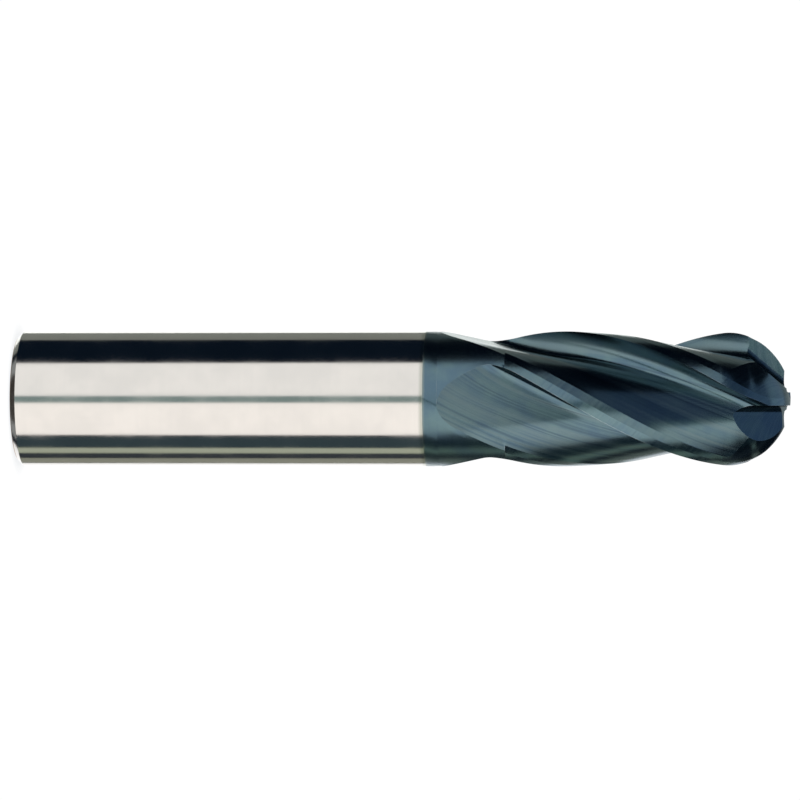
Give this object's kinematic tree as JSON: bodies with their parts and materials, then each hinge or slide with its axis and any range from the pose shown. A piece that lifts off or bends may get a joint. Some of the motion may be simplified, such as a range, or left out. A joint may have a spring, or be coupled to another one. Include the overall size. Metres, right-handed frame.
{
  "type": "ball nose end mill",
  "caption": "Solid carbide ball nose end mill with helical flutes, a coated cutting end and a plain cylindrical shank for a collet or chuck.",
  "frame": {"origin": "centre of the flat rear face of the shank", "axes": "+Z along the tool axis from the rear face to the cutting tip; +X is the side on which a short tooth ends on the ball, and +Y the side on which a long tooth reaches the tip"},
  "size_m": [0.016, 0.016, 0.092],
  "materials": {
    "bare_carbide": "cylindrically ground and polished tungsten carbide",
    "coated_carbide": "dark blue-grey nitride coating over ground tungsten carbide"
  },
  "bodies": {
    "root": {"shank": "bare_carbide", "coated_neck": "coated_carbide", "core": "coated_carbide", "tooth_1": "coated_carbide", "tooth_2": "coated_carbide", "tooth_3": "coated_carbide", "tooth_4": "coated_carbide"}
  },
  "joints": []
}
